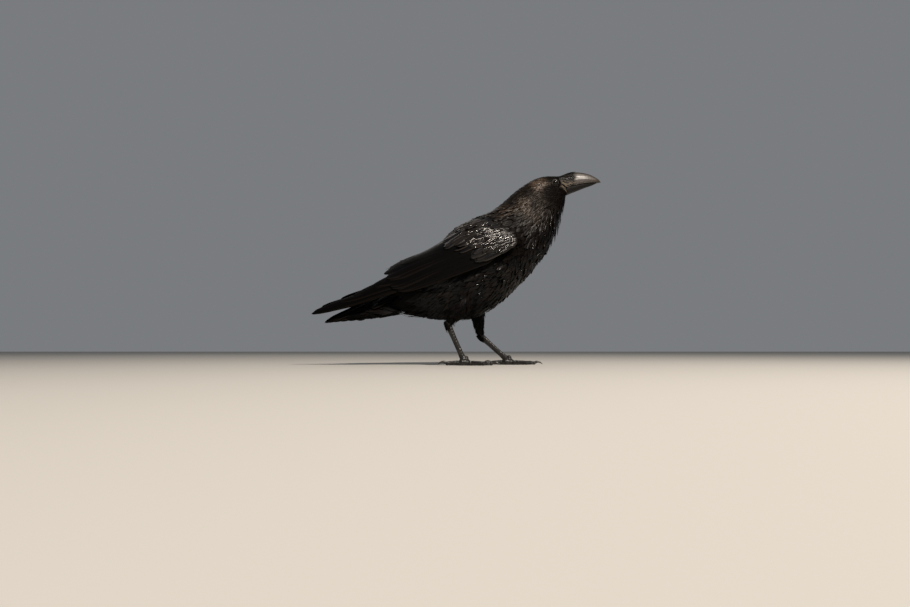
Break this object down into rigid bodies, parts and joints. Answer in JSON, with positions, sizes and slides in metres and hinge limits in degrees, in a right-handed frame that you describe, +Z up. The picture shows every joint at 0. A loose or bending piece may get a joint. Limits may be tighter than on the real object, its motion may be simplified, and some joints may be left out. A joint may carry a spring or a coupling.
{
  "type": "raven",
  "caption": "Life-size still model of a common raven standing on both feet, wings folded, with its head up and its bill pointing forward.",
  "frame": {"origin": "on the floor, under the middle of the bounding box", "axes": "+X forward along the bill, +Y to the bird's left, +Z up"},
  "size_m": [0.4836, 0.1236, 0.322],
  "materials": {
    "body_feathers": "satin",
    "flight_feathers": "satin",
    "bill_horn": "gloss",
    "eye": "gloss",
    "leg_scutes": "satin",
    "claw_horn": "gloss"
  },
  "bodies": {
    "root": {"trunk": "body_feathers", "neck": "body_feathers", "head": "body_feathers", "upper_bill": "bill_horn", "lower_bill": "bill_horn", "eye_left": "eye", "eye_right": "eye", "wing_left": "flight_feathers", "wing_right": "flight_feathers", "primaries_left": "flight_feathers", "primaries_right": "flight_feathers", "tail": "flight_feathers", "thigh_left": "body_feathers", "thigh_right": "body_feathers", "shank_left": "leg_scutes", "shank_right": "leg_scutes", "palm_left": "leg_scutes", "palm_right": "leg_scutes", "toe_hallux_left": "leg_scutes", "claw_hallux_left": "claw_horn", "toe_inner_left": "leg_scutes", "claw_inner_left": "claw_horn", "toe_middle_left": "leg_scutes", "claw_middle_left": "claw_horn", "toe_outer_left": "leg_scutes", "claw_outer_left": "claw_horn", "toe_hallux_right": "leg_scutes", "claw_hallux_right": "claw_horn", "toe_inner_right": "leg_scutes", "claw_inner_right": "claw_horn", "toe_middle_right": "leg_scutes", "claw_middle_right": "claw_horn", "toe_outer_right": "leg_scutes", "claw_outer_right": "claw_horn"}
  },
  "joints": []
}
